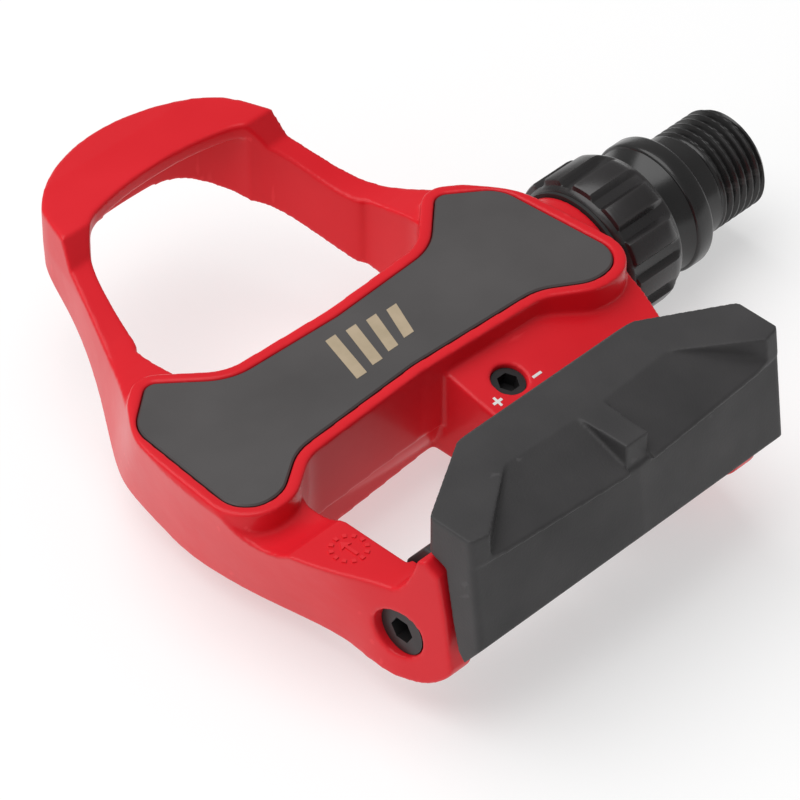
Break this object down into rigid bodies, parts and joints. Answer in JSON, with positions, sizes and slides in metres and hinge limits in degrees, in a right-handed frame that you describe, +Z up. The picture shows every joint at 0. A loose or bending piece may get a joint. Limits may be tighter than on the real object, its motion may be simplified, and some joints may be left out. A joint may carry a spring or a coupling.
{
  "type": "clipless pedal",
  "caption": "Left-hand road clipless pedal: painted toe-hoop body with inset plate, sprung rear clip and a threaded spindle on bearings.",
  "frame": {"origin": "on the spindle axis, at the collar's shoulder that seats on the crank arm", "axes": "+X along the spindle towards the crank, +Y the riding direction (towards the toe hoop), +Z up, out of the cleat side"},
  "size_m": [0.1, 0.0938, 0.0314],
  "materials": {
    "red_paint": "gloss red paint over cast aluminium",
    "dark_plate": "satin dark grey, low sheen",
    "black_composite": "matte black glass-filled composite, fine grain",
    "bush_polymer": "satin dark polymer",
    "black_steel": "black oxide steel, semi-gloss",
    "black_nut": "black, semi-gloss",
    "spring_steel": "bright spring steel",
    "seal_rubber": "black nitrile rubber",
    "bearing_steel": "ground bearing steel",
    "brass_cage": "pressed brass"
  },
  "bodies": {
    "axle": {"spindle": "black_steel", "bearing_outboard_inner_ring": "bearing_steel", "bearing_middle_inner_ring": "bearing_steel", "bearing_spacer": "bearing_steel", "end_washer": "bearing_steel", "end_nut": "black_steel"},
    "pedal": {"pedal_body": "red_paint", "wear_plate": "dark_plate", "lock_nut": "black_nut", "boss_seal": "seal_rubber", "spindle_seal": "seal_rubber", "needle_shell": "bearing_steel", "bearing_outboard_outer_ring": "bearing_steel", "bearing_middle_outer_ring": "bearing_steel", "bearing_spacer_ring": "bearing_steel", "pivot_pin": "black_steel", "pin_circlip": "spring_steel", "clip_spring_outboard": "spring_steel", "clip_spring_inboard": "spring_steel"},
    "needles": {"needle_rollers": "bearing_steel"},
    "outboard_balls": {"bearing_outboard_balls": "bearing_steel", "bearing_outboard_cage": "brass_cage"},
    "middle_balls": {"bearing_middle_balls": "bearing_steel", "bearing_middle_cage": "brass_cage"},
    "clip": {"clip_jaw": "black_composite", "clip_bushes": "bush_polymer"},
    "screw": {"tension_screw": "black_steel"},
    "nut": {"tension_nut": "black_steel"}
  },
  "joints": [
    {"name": "pedal_spin", "type": "hinge", "parent": "axle", "child": "pedal", "pos_m": [-0.053, 0, 0], "axis": [1, 0, 0], "continuous": true},
    {"name": "needle_orbit", "type": "hinge", "parent": "axle", "child": "needles", "pos_m": [-0.037, 0, 0], "axis": [1, 0, 0], "continuous": true},
    {"name": "outboard_ball_orbit", "type": "hinge", "parent": "axle", "child": "outboard_balls", "pos_m": [-0.07, 0, 0], "axis": [1, 0, 0], "continuous": true},
    {"name": "middle_ball_orbit", "type": "hinge", "parent": "axle", "child": "middle_balls", "pos_m": [-0.0635, 0, 0], "axis": [1, 0, 0], "continuous": true},
    {"name": "clip_pivot", "type": "hinge", "parent": "pedal", "child": "clip", "pos_m": [-0.053, -0.0325, 0.0012], "axis": [1, 0, 0], "range_deg": [0, 16], "stiffness_Nm_per_rad": 4, "springref_deg": -20.05, "deforming": ["clip_spring_outboard", "clip_spring_inboard"]},
    {"name": "tension_screw_turn", "type": "hinge", "parent": "pedal", "child": "screw", "pos_m": [-0.0435, -0.0146, 0.006], "axis": [0, -0.2419, 0.9703], "range_deg": [-360, 360]},
    {"name": "tension_nut_slide", "type": "slide", "parent": "pedal", "child": "nut", "axis": [0, -0.2419, 0.9703], "range_m": [-0.0007, 0.0007]}
  ],
  "couplings": [
    {"joint": "needle_orbit", "follows": "pedal_spin", "ratio": 0.565},
    {"joint": "outboard_ball_orbit", "follows": "pedal_spin", "ratio": 0.605},
    {"joint": "middle_ball_orbit", "follows": "pedal_spin", "ratio": 0.605},
    {"joint": "tension_screw_turn", "follows": "tension_nut_slide", "rad_per_m": 8976}
  ]
}
